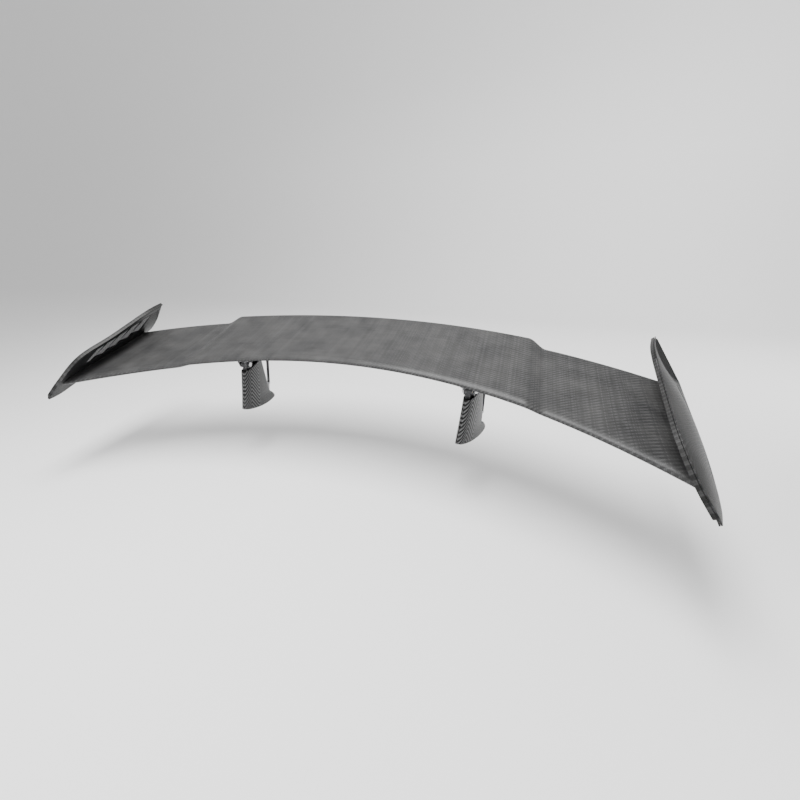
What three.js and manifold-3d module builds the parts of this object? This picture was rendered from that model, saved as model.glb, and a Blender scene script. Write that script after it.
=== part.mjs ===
// Racing rear wing: a bowed carbon blade with louvred end plates, tilting on two raked
// strut posts and driven by two rams. Millimetres. X is the span, Y runs rearward, Z is up.
// The origin is midway between the two foot pads, on the deck.
import * as THREE from "three";
import Module from "manifold-3d";
import { mergeVertices } from "three/addons/utils/BufferGeometryUtils.js";

const wasm = await Module();
wasm.setup();

// Driving dimensions
const clearance = 0.3; // between pieces that touch
const runningGap = 0.05; // radial, between a pin and its bush

// Overall: the end plates' front tips are at halfSpan, and the blade tilts about the pivot.
const halfSpan = 850;
const pivotY = -47;
const pivotZ = 172; // above the deck at the origin

// The blade's two edges over the span, as laws of u = |x| / halfSpan: each starts at the centre,
// rise above the pivot, and loses bow[0] u^2 + bow[1] u^4 in y and arch[0] u^2 + arch[1] u^4 in z.
// Outboard of the shoulder both edges step by step [y, z].
const shoulderX = 544;
const shoulderWidth = 51;
const frontEdge = { y: -46, rise: 38, bow: [216, 88], arch: [72, -17], step: [9, -7] };
const rearEdge = { y: 241, rise: 122, bow: [281, -28], arch: [15, 22], step: [-5, -22] };

const bladeThickness = 0.066; // share of the chord
const bladeSag = 0.022; // camber, share of the chord
const noseShare = 0.09; // chord share taken by the rounded nose
const tailThickness = 3.4;
const skinThickness = 2;
const bondGap = 1; // adhesive between the blade's end and the end plate

const sparFront = [0.22, 0.32]; // chord shares
const sparRear = [0.64, 0.72];
const sparWall = 0.8; // clear of the skins, above and below
const sparShort = 50; // the spars stop this far short of the half span

// End plate: the upper rail and the lower rail from front to rear, each point as y, x from the
// half span and z from the pivot. The rear edge runs straight between the rails' rear ends.
const upperRail = [
  [-371, 0, -55],
  [-343, -35, -5],
  [-288, -64, 54],
  [-168, -63, 96],
  [-17, -58, 150],
  [57, -40, 163],
];
const lowerRail = [
  [-371, 0, -60],
  [-325, 16, -58],
  [-265, 23, -40],
  [-125, 26, 10],
  [21, 29, 58],
];
const plateDish = 18; // how far the rear of the plate is dished inboard
const panelThickness = 2.6;
const plateBulge = 14; // cavity depth between the two panels, at its deepest
const seamGap = 0.8; // adhesive where the panels meet at their edges
const railHeight = 5; // rolled rim on the upper rail, proud of the inner panel
const railShare = 0.11; // width share of the rolled rim
const tipMargin = 5; // the rails' ends are blunted this far in
const windowFront = -262; // at the window's foot
const windowEnd = -50;
const windowTop = 0.16;
const windowFoot = 0.46;
const ventTop = 0.7;
const ventFoot = 0.88;
const ventEndShare = 0.12; // the vent's width at its ends, as a share of its middle's
const ventFront = -290;
const ventRear = -20;
const louvreCount = 5;
const louvreLean = 42; // the top of a vane is this far behind its foot
const louvreRun = 24;
const louvreGap = 3.65; // from the last vane's rear edge to the window's end
const louvreFootGap = 7; // between neighbours at their feet, which flare forward
const louvreSink = 0.55; // share of the cavity
const louvreThickness = 1.8;

// Strut: a toed-out fairing over an aluminium post.
const strutX = 388; // at y = 0
const strutToe = 13.4; // degrees, the rear end outboard
const fairingThickness = 34;
const fairingWall = 2.5;
const fairingFront = { foot: -109, head: -69 }; // y of the front edge
const fairingRear = { foot: 86, head: 55 };
const tailTaper = 0.35; // how much the tail narrows above the flare
const headGap = 7.5; // between the fairing's head and the clevis
const fairingHeadSlope = 0.09;
const flareLength = 27;
const flareHeight = 34;
const slotGap = 1; // between the fork and the sides of its slot in the flare
const slotReach = 13; // behind the ram's foot pin
const slotTop = 36;
const deckSlope = -0.206; // the deck falls to the rear
const deckCurve = 0.0008;
const gasketThickness = 2;
const postThickness = 12;
const forkGap = 0.2; // between the ram's rod and its fork in the foot
const forkThickness = 2.4;
const forkWall = 0.4; // round the pin's bore
const forkRoot = 62; // y where the fork leaves its bridge
const bridgeLap = 8; // the bridge runs on this far beside the fork's arms
const padGap = 3.5; // from the fairing's wall to the pad
const padLength = 78;
const padThickness = 8;

// Pivot, through the top of each post.
const pinRadius = 4;
const bushWall = 1.5;
const bushStand = 0.8; // the bush stands proud of the boss by this much
const tongueRadius = 12;
const lugRadius = 12.5;
const lugThickness = 5;
const lugGap = 0.6; // between a lug and the bush's flange
const bracketSetback = 22; // behind the blade's front edge, clear of its nose
const bracketLength = 62;
const bracketGap = 0.9; // sealant between a bracket and the lower skin
const bracketWidth = 46;
const bracketBase = 5;
const pinHeadRadius = 7;
const pinHeadLength = 4.5;
const nutRadius = 7.2;
const nutLength = 6;

// Ram behind each strut, pinned in the foot and to the underside of the blade.
const ramFoot = [82, 4];
const ramTop = [118, pivotZ + 66];
const cylinderWall = 1.7;
const cylinderStart = 48; // along the ram from the foot pin
const cylinderGap = 1.5; // from the cylinder to the bracket's lugs
const glandLength = 7;
const rodRadius = 3;
const rodEnd = 120;
const footEyeWall = 2.5;
const topEyeWall = 3;
const eyeWidth = 5;
const eyePinRadius = 3;
const openPivotGap = 1; // the closed linkage is opened here
const linkLugThickness = 3.5;
const linkLugGap = 0.8;
const linkLugWall = 4.2;
const linkBase = 4;
const linkBaseLength = 44;

// Threaded inserts in the pad's underside, for the screws that come up through the deck.
const insertRadius = 5.5;
const insertBore = 3.2;
const insertDepth = 5.5;
const insertSpacing = 46;
const endRibThickness = 12;
const ribWall = 0.5; // clear of the skins, above and below

const carbon = { color: 0x5c5d5f, roughness: 0.38, metalness: 0.1 };
const darkCarbon = { color: 0x3c3d40, roughness: 0.42, metalness: 0.1 };
const alloy = { color: 0xb9bcc0, roughness: 0.35, metalness: 1 };
const darkAlloy = { color: 0x4a4c50, roughness: 0.4, metalness: 0.9 };
const steel = { color: 0x9a9da1, roughness: 0.3, metalness: 1 };
const bronze = { color: 0x9c7a45, roughness: 0.4, metalness: 1 };
const rubber = { color: 0x1c1c1d, roughness: 0.85, metalness: 0 };

const wing = new THREE.Group();

// Sizes that follow from the ones above
const toe = THREE.MathUtils.degToRad(strutToe);
const pivotX = strutX + pivotY * Math.tan(toe);
const ramX = strutX + ramFoot[0] * Math.tan(toe);
const bossHalf = postThickness / 2 + tongueRadius * Math.tan(toe);
const fairingHead = pivotZ - lugRadius - headGap;
const insideHalf = fairingThickness / 2 - fairingWall;
const padWidth = 2 * (insideHalf - padGap);
const linkLugRadius = eyePinRadius + clearance + linkLugWall;
const cylinderRadius = rodRadius + clearance + cylinderWall;
const forkHalf = rodRadius + forkGap;
const forkReach = (eyePinRadius + clearance + forkWall) * Math.SQRT2;
const slotHalf = forkHalf + forkThickness + slotGap;
const bridgeHalf = forkHalf + forkThickness + (ramFoot[0] - forkRoot - bridgeLap) * Math.tan(toe);

// Helpers
const lerp = THREE.MathUtils.lerp;
const smooth = (t) => THREE.MathUtils.smoothstep(t, 0, 1);
const steps = (from, to, count) => Array.from({ length: count + 1 }, (_, i) => lerp(from, to, i / count));

function addNode(name, geometry, finish, mirrored = false) {
  const mesh = new THREE.Mesh(geometry, new THREE.MeshStandardMaterial(finish));
  mesh.name = name;
  if (mirrored) mesh.scale.x = -1;
  wing.add(mesh);
  return mesh;
}

// The right-hand piece as modelled, and its mirror image on the left.
function addPair(name, makeGeometry, finish) {
  addNode(`${name}_right`, makeGeometry(), finish);
  addNode(`${name}_left`, makeGeometry(), finish, true);
}

function geometryFrom(vertices, triangles) {
  const geometry = new THREE.BufferGeometry();
  geometry.setAttribute("position", new THREE.Float32BufferAttribute(vertices, 3));
  geometry.setIndex(triangles);
  return geometry;
}

// A closed body through rings of [x, y, z] points, each ring one closed outline; the ends are
// capped. flat gives the 2-D point that a ring point is triangulated by.
function loft(rings, flat) {
  const size = rings[0].length;
  const triangles = [];
  rings.slice(1).forEach((_, r) => {
    for (let i = 0; i < size; i++) {
      const a = r * size + i;
      const b = r * size + ((i + 1) % size);
      triangles.push(a, b, a + size, b, b + size, a + size);
    }
  });
  for (const [r, flip] of [[0, true], [rings.length - 1, false]]) {
    const outline = rings[r].map((p) => new THREE.Vector2(...flat(p)));
    const turned = THREE.ShapeUtils.isClockWise(outline) !== flip;
    for (const [i, j, k] of THREE.ShapeUtils.triangulateShape(outline, [])) {
      const base = r * size;
      triangles.push(...(turned ? [base + k, base + j, base + i] : [base + i, base + j, base + k]));
    }
  }
  return outward(geometryFrom(rings.flat(2), triangles));
}

// A sheet over a grid of (u, v) cells with a wall thickness: face(u, v, side) is the point on
// side 0 or side 1. Cells where keep(u, v) is false, taken at the cell's middle, are left open.
function sheet(us, vs, face, keep = () => true) {
  const vertices = [];
  const triangles = [];
  const at = (i, j, side) => (i * vs.length + j) * 2 + side;
  us.forEach((u) => vs.forEach((v) => vertices.push(...face(u, v, 0), ...face(u, v, 1))));
  const open = (i, j) => i < 0 || j < 0 || i >= us.length - 1 || j >= vs.length - 1
    || !keep((us[i] + us[i + 1]) / 2, (vs[j] + vs[j + 1]) / 2);
  const quad = (a, b, c, d) => triangles.push(a, b, c, a, c, d);
  for (let i = 0; i < us.length - 1; i++) {
    for (let j = 0; j < vs.length - 1; j++) {
      if (open(i, j)) continue;
      quad(at(i, j, 1), at(i + 1, j, 1), at(i + 1, j + 1, 1), at(i, j + 1, 1));
      quad(at(i, j, 0), at(i, j + 1, 0), at(i + 1, j + 1, 0), at(i + 1, j, 0));
      if (open(i, j - 1)) quad(at(i, j, 0), at(i + 1, j, 0), at(i + 1, j, 1), at(i, j, 1));
      if (open(i, j + 1)) quad(at(i, j + 1, 0), at(i, j + 1, 1), at(i + 1, j + 1, 1), at(i + 1, j + 1, 0));
      if (open(i - 1, j)) quad(at(i, j, 0), at(i, j, 1), at(i, j + 1, 1), at(i, j + 1, 0));
      if (open(i + 1, j)) quad(at(i + 1, j, 0), at(i + 1, j + 1, 0), at(i + 1, j + 1, 1), at(i + 1, j, 1));
    }
  }
  return outward(geometryFrom(vertices, triangles));
}

function signedVolume(geometry) {
  const p = geometry.getAttribute("position");
  const corner = (i) => new THREE.Vector3().fromBufferAttribute(p, geometry.index.getX(i));
  let volume = 0;
  for (let i = 0; i < geometry.index.count; i += 3) {
    volume += corner(i).dot(corner(i + 1).cross(corner(i + 2))) / 6;
  }
  return volume;
}

function outward(geometry) {
  if (signedVolume(geometry) < 0) geometry.index.array.reverse();
  return geometry;
}

function merge(geometry) {
  const bare = geometry.clone();
  bare.deleteAttribute("normal");
  bare.deleteAttribute("uv");
  return mergeVertices(bare, 1e-4);
}

function toSolid(geometry) {
  const merged = merge(geometry);
  return new wasm.Manifold(new wasm.Mesh({
    numProp: 3,
    vertProperties: merged.attributes.position.array,
    triVerts: new Uint32Array(merged.index.array),
  }));
}

function fromSolid(solid) {
  const mesh = solid.getMesh();
  return geometryFrom(Array.from(mesh.vertProperties), Array.from(mesh.triVerts));
}

function cut(geometry, ...tools) {
  return fromSolid(tools.reduce((solid, tool) => solid.subtract(toSolid(tool)), toSolid(geometry)));
}

function join(geometry, ...others) {
  return fromSolid(others.reduce((solid, other) => solid.add(toSolid(other)), toSolid(geometry)));
}

// A round bar along X from x0 to x1 through (y, z).
function barX(radius, x0, x1, y, z, sides = 20) {
  const bar = new THREE.CylinderGeometry(radius, radius, x1 - x0, sides);
  return bar.rotateZ(Math.PI / 2).translate((x0 + x1) / 2, y, z);
}

function ringX(outer, inner, x0, x1, y, z, sides, boreSides = sides) {
  return cut(barX(outer, x0, x1, y, z, sides), barX(inner, x0 - 1, x1 + 1, y, z, boreSides));
}

function box(x0, x1, y0, y1, z0, z1) {
  const block = new THREE.BoxGeometry(x1 - x0, y1 - y0, z1 - z0);
  return block.translate((x0 + x1) / 2, (y0 + y1) / 2, (z0 + z1) / 2);
}

// Blade
function edgeAt(edge, x) {
  const u2 = (x / halfSpan) ** 2;
  const step = smooth((Math.abs(x) - shoulderX) / shoulderWidth + 0.5);
  return [
    edge.y - edge.bow[0] * u2 - edge.bow[1] * u2 * u2 + edge.step[0] * step,
    pivotZ + edge.rise - edge.arch[0] * u2 - edge.arch[1] * u2 * u2 + edge.step[1] * step,
  ];
}

function chordAt(x) {
  const [y0, z0] = edgeAt(frontEdge, x);
  const [y1, z1] = edgeAt(rearEdge, x);
  const length = Math.hypot(y1 - y0, z1 - z0);
  return { y0, z0, length, ey: (y1 - y0) / length, ez: (z1 - z0) / length };
}

function halfThickness(s, length) {
  const half = (bladeThickness * length) / 2;
  if (s < noseShare) return half * Math.sqrt(1 - (1 - s / noseShare) ** 2);
  return lerp(half, tailThickness / 2, ((s - noseShare) / (1 - noseShare)) ** 1.7);
}

// The point at chord share s, a height above or below the camber line.
function bladePoint(x, s, height) {
  const { y0, z0, length, ey, ez } = chordAt(x);
  const n = -bladeSag * length * 4 * s * (1 - s) + height;
  return [x, y0 + s * length * ey - n * ez, z0 + s * length * ez + n * ey];
}

function bladeSurface(x, s, side, inset = 0) {
  const half = halfThickness(s, chordAt(x).length);
  return bladePoint(x, s, side * Math.max(half - inset, clearance / 2));
}

// Heights where a vertical line through (x, y) meets the blade's upper or lower surface.
function bladeHeight(x, y, side) {
  let low = 0;
  let high = 1;
  for (let i = 0; i < 30; i++) {
    const s = (low + high) / 2;
    if (bladeSurface(x, s, side)[1] < y) low = s;
    else high = s;
  }
  return bladeSurface(x, low, side)[2];
}

// The blade ends on the inner panel: where the point that pointAt gives meets it.
function tipX(pointAt) {
  let x = halfSpan;
  for (let i = 0; i < 8; i++) {
    const [, y, z] = pointAt(x);
    x = panelX(y, z, -panelThickness - bondGap);
  }
  return x;
}

const skinShares = [0, 0.012, 0.04, noseShare, 0.22, 0.42, 0.62, 0.82, 1];

function bladeStations() {
  const shoulder = shoulderX / halfSpan;
  const ramp = (0.58 * shoulderWidth) / halfSpan;
  const half = [
    ...steps(0, shoulder - ramp, 6).slice(1), shoulder - 0.43 * ramp, shoulder,
    shoulder + 0.43 * ramp, ...steps(shoulder + ramp, 1, 5),
  ];
  return [...half.map((h) => -h).reverse(), 0, ...half];
}

function skinRing(share, side) {
  const place = (s, inset) => {
    const pointAt = (x) => {
      const outer = Math.max(halfThickness(s, chordAt(x).length), clearance / 2 + 0.4);
      return bladePoint(x, s, side * Math.max(outer - inset, clearance / 2));
    };
    return pointAt(share * tipX(pointAt));
  };
  const outer = skinShares.map((s) => place(s, 0));
  const inner = skinShares.map((s) => place(s, skinThickness)).reverse();
  return [...outer, ...inner];
}

function skin(side) {
  return loft(bladeStations().map((share) => skinRing(share, side)), ([, y, z]) => [y, z]);
}

// A box spar that follows the bow, clear of both skins.
function spar(shares) {
  const inset = skinThickness + clearance + sparWall;
  const place = (s, side, share) => {
    const pointAt = (x) => bladeSurface(x, s, side, inset);
    return pointAt(share * tipX(pointAt));
  };
  const ring = (share) => [
    ...shares.map((s) => place(s, 1, share)),
    ...shares.map((s) => place(s, -1, share)).reverse(),
  ];
  const stations = bladeStations().filter((share) => Math.abs(share) < 1 - sparShort / halfSpan);
  return loft(stations.map(ring), ([, y, z]) => [y, z]);
}

// The closing rib inside the blade's end, parallel to the inner panel.
function endRib() {
  const inset = skinThickness + clearance + ribWall;
  const shares = [noseShare, 0.2, 0.35, 0.5, 0.6];
  const place = (s, side, back) => {
    const x = tipX((xx) => bladeSurface(xx, s, side, inset));
    return bladeSurface(x - back, s, side, inset);
  };
  const ring = (back) => [
    ...shares.map((s) => place(s, 1, back)),
    ...shares.map((s) => place(s, -1, back)).reverse(),
  ];
  return loft([ring(endRibThickness), ring(clearance)], ([, y, z]) => [y, z]);
}

// End plates
const railPoint = ([y, x, z]) => new THREE.Vector3(halfSpan + x, y, pivotZ + z);
const railCurve = (points) => new THREE.CatmullRomCurve3(points.map(railPoint), false, "centripetal");
const upperCurve = railCurve(upperRail);
const lowerCurve = railCurve(lowerRail);
const lowerEnd = railPoint(lowerRail.at(-1));
const rearTip = railPoint(upperRail.at(-1));
const plateFront = upperRail[0][0] + tipMargin;
const plateRear = rearTip.y - tipMargin * 0.5;

function curveAtY(curve, y) {
  let low = 0;
  let high = 1;
  for (let i = 0; i < 40; i++) {
    const t = (low + high) / 2;
    if (curve.getPoint(t).y < y) low = t;
    else high = t;
  }
  return curve.getPoint((low + high) / 2);
}

const railsCache = new Map();

function railsAt(y) {
  if (!railsCache.has(y)) railsCache.set(y, findRails(y));
  return railsCache.get(y);
}

function findRails(y) {
  const upper = curveAtY(upperCurve, y);
  if (y <= lowerEnd.y) return { upper, lower: curveAtY(lowerCurve, y) };
  return { upper, lower: lowerEnd.clone().lerp(rearTip, (y - lowerEnd.y) / (rearTip.y - lowerEnd.y)) };
}

// The outer face of the inner panel, at w = 0 on the upper rail to 1 on the lower one, moved
// out along the plate's normal in the plane of constant y.
function platePoint(y, w, offset) {
  const { upper, lower } = railsAt(y);
  const dx = lower.x - upper.x;
  const dz = lower.z - upper.z;
  const width = Math.hypot(dx, dz);
  const length = THREE.MathUtils.clamp((y - plateFront) / (plateRear - plateFront), 0, 1);
  const dish = plateDish * length * length * 4 * w * (1 - w) * Math.min(1, width / 100);
  const out = offset - dish;
  return [upper.x + dx * w - (dz / width) * out, y, upper.z + dz * w + (dx / width) * out];
}

// Where the plate's surface, moved out by offset, is at a given y and z.
function panelX(y, z, offset) {
  let low = 0;
  let high = 1;
  const inside = THREE.MathUtils.clamp(y, plateFront, plateRear);
  for (let i = 0; i < 30; i++) {
    const w = (low + high) / 2;
    if (platePoint(inside, w, offset)[2] > z) low = w;
    else high = w;
  }
  return platePoint(inside, low, offset)[0];
}

// Distance from the inner panel to the outer one: nothing at the edges, deepest in the middle.
function bulgeAt(y, w) {
  const length = THREE.MathUtils.clamp((y - plateFront) / (plateRear - plateFront), 0, 1);
  return seamGap + plateBulge * Math.sin(Math.PI * length) ** 0.8 * Math.sin(Math.PI * w) ** 0.8;
}

// A station moved rearward towards the upper rail, so that the window's ends lean with the vanes.
function leanStation(y, w) {
  const height = THREE.MathUtils.clamp((w - windowTop) / (windowFoot - windowTop), 0, 1);
  const ahead = (y - plateFront) / (windowFront - plateFront);
  const behind = (plateRear - y) / (plateRear - windowEnd);
  return y + louvreLean * (1 - height) * Math.min(1, ahead, behind);
}

function innerPanel() {
  const ws = [0, railShare / 2, railShare, windowTop, windowFoot, 0.7, 1];
  const rim = (w) => railHeight * Math.sqrt(Math.max(0, 1 - (w / railShare) ** 2));
  const face = (y, w, side) => platePoint(leanStation(y, w), w, side ? 0 : -panelThickness - rim(w));
  const keep = (y, w) => !(y > windowFront && y < windowEnd && w > windowTop && w < windowFoot);
  const stations = [
    ...steps(plateFront, windowFront, 7), ...steps(windowFront, windowEnd, 7).slice(1),
    ...steps(windowEnd, lowerEnd.y, 4).slice(1), ...steps(lowerEnd.y, plateRear, 3).slice(1),
  ];
  return sheet(stations, ws, face, keep);
}

// The vent is a lens: its edges draw together towards its ends.
function lensShare(y, w) {
  const t = THREE.MathUtils.clamp((y - ventFront) / (ventRear - ventFront), 0, 1);
  const middle = (ventTop + ventFoot) / 2;
  const half = ((ventFoot - ventTop) / 2) * Math.max(ventEndShare, Math.sin(Math.PI * t) ** 0.6);
  if (w <= ventTop) return (w / ventTop) * (middle - half);
  if (w >= ventFoot) return lerp(middle + half, 1, (w - ventFoot) / (1 - ventFoot));
  return lerp(middle - half, middle + half, (w - ventTop) / (ventFoot - ventTop));
}

function outerPanel() {
  const ws = [...steps(0, ventTop, 4), ventFoot, (1 + ventFoot) / 2, 1];
  const face = (y, w, side) => {
    const share = lensShare(y, w);
    return platePoint(y, share, bulgeAt(y, share) + side * panelThickness);
  };
  const keep = (y, w) => !(y > ventFront && y < ventRear && w > ventTop && w < ventFoot);
  const stations = [
    ...steps(plateFront, ventFront, 6), ...steps(ventFront, ventRear, 10).slice(1),
    ...steps(ventRear, lowerEnd.y, 2).slice(1), ...steps(lowerEnd.y, plateRear, 3).slice(1),
  ];
  return sheet(stations, ws, face, keep);
}

// One vane: its rear edge lies in the window's face, its front edge is sunk into the plate.
function louvre(index) {
  const pitch = (windowEnd - windowFront - louvreRun - louvreGap) / (louvreCount - 1);
  const flare = index ? pitch - louvreFootGap - louvreRun : 0;
  const rear = windowFront + louvreRun + index * pitch;
  const margin = 0.015;
  const face = (h, run, side) => {
    const w = lerp(windowTop + margin, windowFoot - margin, h);
    const y = rear + louvreLean * (1 - h) - (louvreRun + flare * h ** 3) * run;
    const depth = clearance - panelThickness + louvreSink * bulgeAt(y, w) * run;
    return platePoint(y, w, depth + side * louvreThickness);
  };
  return sheet(steps(0, 1, 3), steps(0, 1, 2), face);
}

// Struts
const deckHeight = (y) => deckSlope * y + deckCurve * y * y;
const deckTilt = Math.atan(deckSlope);
const pinHole = pinRadius + bushWall + clearance;

// x across the strut and y along it, turned to the strut's toe.
function toToed(x, y) {
  return [strutX + y * Math.tan(toe) + x * Math.cos(toe), y - x * Math.sin(toe)];
}

// A fairing outline in plan: a round nose, full sides and a tail that narrows by tail.
function fairingOutline(front, rear, thickness, tail) {
  const count = 22;
  return Array.from({ length: count }, (_, i) => {
    const angle = (2 * Math.PI * i) / count;
    const s = (1 - Math.cos(angle)) / 2;
    const across = Math.abs(Math.sin(angle)) < 1e-9 ? 0 : Math.sign(Math.sin(angle));
    const wide = (thickness / 2) * Math.abs(Math.sin(angle)) ** 0.55 * (1 - tail * s * s);
    return [across * wide, front + (rear - front) * s];
  });
}

// The outline at a share of the fairing's height, inset by a wall.
function fairingSection(level, inset) {
  const flare = 1 - smooth(level * fairingHead / flareHeight);
  return fairingOutline(
    lerp(fairingFront.foot, fairingFront.head, level) + inset,
    lerp(fairingRear.foot, fairingRear.head, level) + flareLength * flare - inset,
    fairingThickness - 2 * inset,
    tailTaper * (1 - flare),
  );
}

const headHeight = (y) => fairingHead + fairingHeadSlope * (y - fairingFront.head);
const planOf = ([x, y]) => [x, y];

// Rings from the deck's curve, moved by foot, to the sloping head, moved by head.
function fairingBody(inset, foot, head) {
  const levels = [0, 0.06, 0.12, 0.18, 0.24, 0.6, 1];
  return loft(levels.map((level) => fairingSection(level, inset).map(([across, along]) => {
    const [x, y] = toToed(across, along);
    return [x, y, lerp(deckHeight(y) + foot, headHeight(y) + head, level)];
  })), planOf);
}

function fairing() {
  const [footY] = ramFoot;
  const slot = box(ramX - slotHalf, ramX + slotHalf, forkRoot - slotGap, footY + slotReach, -40, slotTop);
  return cut(fairingBody(0, gasketThickness + clearance, 0), fairingBody(fairingWall, -9, 9), slot);
}

function gasket() {
  const band = (inset, low, high) => loft([low, high].map((height) => fairingSection(0, inset)
    .map(([across, along]) => {
      const [x, y] = toToed(across, along);
      return [x, y, deckHeight(y) + height];
    })), planOf);
  return cut(band(0, 0, gasketThickness), band(fairingWall, -5, 5));
}

// A flat piece of constant thickness across the strut, from a (y, z) outline, sheared to the toe.
function toedPlate(outline, from, to) {
  const shape = new THREE.Shape(outline.map(([y, z]) => new THREE.Vector2(y, z)));
  const plate = new THREE.ExtrudeGeometry(shape, { depth: to - from, bevelEnabled: false, curveSegments: 6 });
  const place = new THREE.Matrix4().set(
    Math.tan(toe), 0, 1, strutX + from,
    1, 0, 0, 0,
    0, 1, 0, 0,
    0, 0, 0, 1,
  );
  return outward(merge(plate.applyMatrix4(place)));
}

function plateX(outline, x0, x1) {
  const shape = new THREE.Shape(outline.map(([y, z]) => new THREE.Vector2(y, z)));
  const plate = new THREE.ExtrudeGeometry(shape, { depth: x1 - x0, bevelEnabled: false });
  const place = new THREE.Matrix4().set(0, 0, 1, x0, 1, 0, 0, 0, 0, 1, 0, 0, 0, 0, 0, 1);
  return outward(merge(plate.applyMatrix4(place)));
}

// The foot pad lies along the deck at y = 0; its underside is the strut's seat.
function pad() {
  const block = new THREE.BoxGeometry(padWidth, padLength, padThickness);
  block.translate(0, 0, padThickness / 2).rotateX(deckTilt).rotateZ(-toe);
  return block.translate(strutX, 0, 0);
}

function insertAxis(index) {
  const along = insertSpacing * (index ? 0.5 : -0.5);
  return new THREE.Matrix4()
    .makeTranslation(strutX + along * Math.sin(toe), along * Math.cos(toe), along * Math.tan(deckTilt))
    .multiply(new THREE.Matrix4().makeRotationZ(-toe))
    .multiply(new THREE.Matrix4().makeRotationX(deckTilt + Math.PI / 2));
}

// A bar square to the pad, from below its underside to a depth.
function insertBar(index, radius, from, to) {
  const bar = new THREE.CylinderGeometry(radius, radius, to - from, 16);
  return bar.translate(0, (from + to) / 2, 0).applyMatrix4(insertAxis(index));
}

const insertHole = (index) => insertBar(index, insertRadius + clearance, -2, insertDepth + clearance);

function footInsert(index) {
  const bore = insertBar(index, insertBore, -1, insertDepth + 1);
  return cut(insertBar(index, insertRadius, clearance, insertDepth), bore);
}

function post() {
  const half = postThickness / 2;
  const seat = (y) => deckSlope * y + padThickness / 2;
  const web = toedPlate([
    [-15, seat(-15)], [14, seat(14)], [12, 92], [pivotY + tongueRadius - 1, pivotZ],
    [pivotY - tongueRadius + 1, pivotZ], [-60, 80],
  ], -half, half);
  const [footY, footZ] = ramFoot;
  const arms = [[-forkHalf - forkThickness, -forkHalf], [forkHalf, forkHalf + forkThickness]];
  const fork = arms.map(([from, to]) => plateX([
    [forkRoot, seat(forkRoot) + 3], [footY, footZ - forkReach], [footY + forkReach, footZ],
    [footY, footZ + forkReach], [forkRoot, seat(forkRoot) + 12],
  ], ramX + from, ramX + to));
  const boss = barX(tongueRadius, pivotX - bossHalf, pivotX + bossHalf, pivotY, pivotZ, 28);
  const bridge = toedPlate([
    [30, seat(30) - 2], [forkRoot + bridgeLap, seat(forkRoot) + 2.5],
    [forkRoot + bridgeLap, seat(forkRoot) + 9], [30, seat(30) + padThickness / 2],
  ], -bridgeHalf, bridgeHalf);
  const whole = join(pad(), web, bridge, ...fork, boss);
  const bore = barX(pinHole, pivotX - 40, pivotX + 40, pivotY, pivotZ, 28);
  const footBore = barX(eyePinRadius + clearance, ramX - 40, ramX + 40, ramFoot[0], ramFoot[1], 20);
  return cut(whole, bore, footBore, insertHole(0), insertHole(1));
}

function bush() {
  return ringX(pinRadius + bushWall, pinRadius + runningGap, pivotX - bossHalf - bushStand,
    pivotX + bossHalf + bushStand, pivotY, pivotZ, 28);
}

const lugInner = bossHalf + bushStand + lugGap;
const lugOuter = lugInner + lugThickness;

function pivotPin() {
  const end = lugOuter + clearance;
  const shank = barX(pinRadius, pivotX - end - 1, pivotX + end + nutLength + 2, pivotY, pivotZ, 28);
  const head = barX(pinHeadRadius, pivotX - end - pinHeadLength, pivotX - end, pivotY, pivotZ, 24);
  return join(shank, head);
}

function pivotNut() {
  const from = pivotX + lugOuter + clearance;
  return ringX(nutRadius, pinRadius + clearance, from, from + nutLength, pivotY, pivotZ, 6, 28);
}

// Brackets on the blade's underside
function underBlade(x, y, drop) {
  return bladeHeight(x, y, -1) - bracketGap - drop;
}

function bracketPlate(x0, x1, y0, y1, thickness) {
  const ys = steps(y0, y1, 5);
  return loft([x0, (x0 + x1) / 2, x1].map((x) => [
    ...ys.map((y) => [x, y, underBlade(x, y, 0)]),
    ...ys.map((y) => [x, y, underBlade(x, y, thickness)]).reverse(),
  ]), ([, y, z]) => [y, z]);
}

// A lug from the plate down to a round end about (y, z).
function lug(x0, x1, y, z, radius, front, rear, seat) {
  const arc = steps(Math.PI, 2 * Math.PI, 8).map((a) => [y + radius * Math.cos(a), z + radius * Math.sin(a)]);
  const middle = (x0 + x1) / 2;
  return plateX([
    ...arc, [rear, underBlade(middle, rear, seat)], [front, underBlade(middle, front, seat)],
  ], x0, x1);
}

function clevis() {
  const front = edgeAt(frontEdge, pivotX)[0] + bracketSetback;
  const rear = front + bracketLength;
  const plate = bracketPlate(pivotX - bracketWidth / 2, pivotX + bracketWidth / 2, front, rear, bracketBase);
  const lugs = [[-lugOuter, -lugInner], [lugInner, lugOuter]].map(([a, b]) => lug(
    pivotX + a, pivotX + b, pivotY, pivotZ, lugRadius, front + 3, rear - 3, bracketBase / 2));
  return cut(join(plate, ...lugs),
    barX(pinRadius + clearance, pivotX - 40, pivotX + 40, pivotY, pivotZ, 28));
}

const linkInner = eyeWidth / 2 + linkLugGap;
const linkOuter = linkInner + linkLugThickness;

function linkBracket() {
  const [y, z] = ramTop;
  const plate = bracketPlate(ramX - linkOuter - 4, ramX + linkOuter + 4,
    y - linkBaseLength / 2, y + linkBaseLength / 2, linkBase);
  const reach = linkBaseLength * 0.36;
  const lugs = [[-linkOuter, -linkInner], [linkInner, linkOuter]].map(([a, b]) => lug(
    ramX + a, ramX + b, y, z, linkLugRadius, y - reach, y + reach, linkBase / 2));
  return cut(join(plate, ...lugs), barX(eyePinRadius + clearance, ramX - 30, ramX + 30, y, z, 20));
}

function eyePin([y, z], half) {
  const shank = barX(eyePinRadius, ramX - half - 1, ramX + half + 1.5, y, z, 20);
  const head = barX(eyePinRadius + 1.6, ramX - half - clearance - 2, ramX - half - clearance, y, z, 20);
  return join(shank, head);
}

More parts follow.
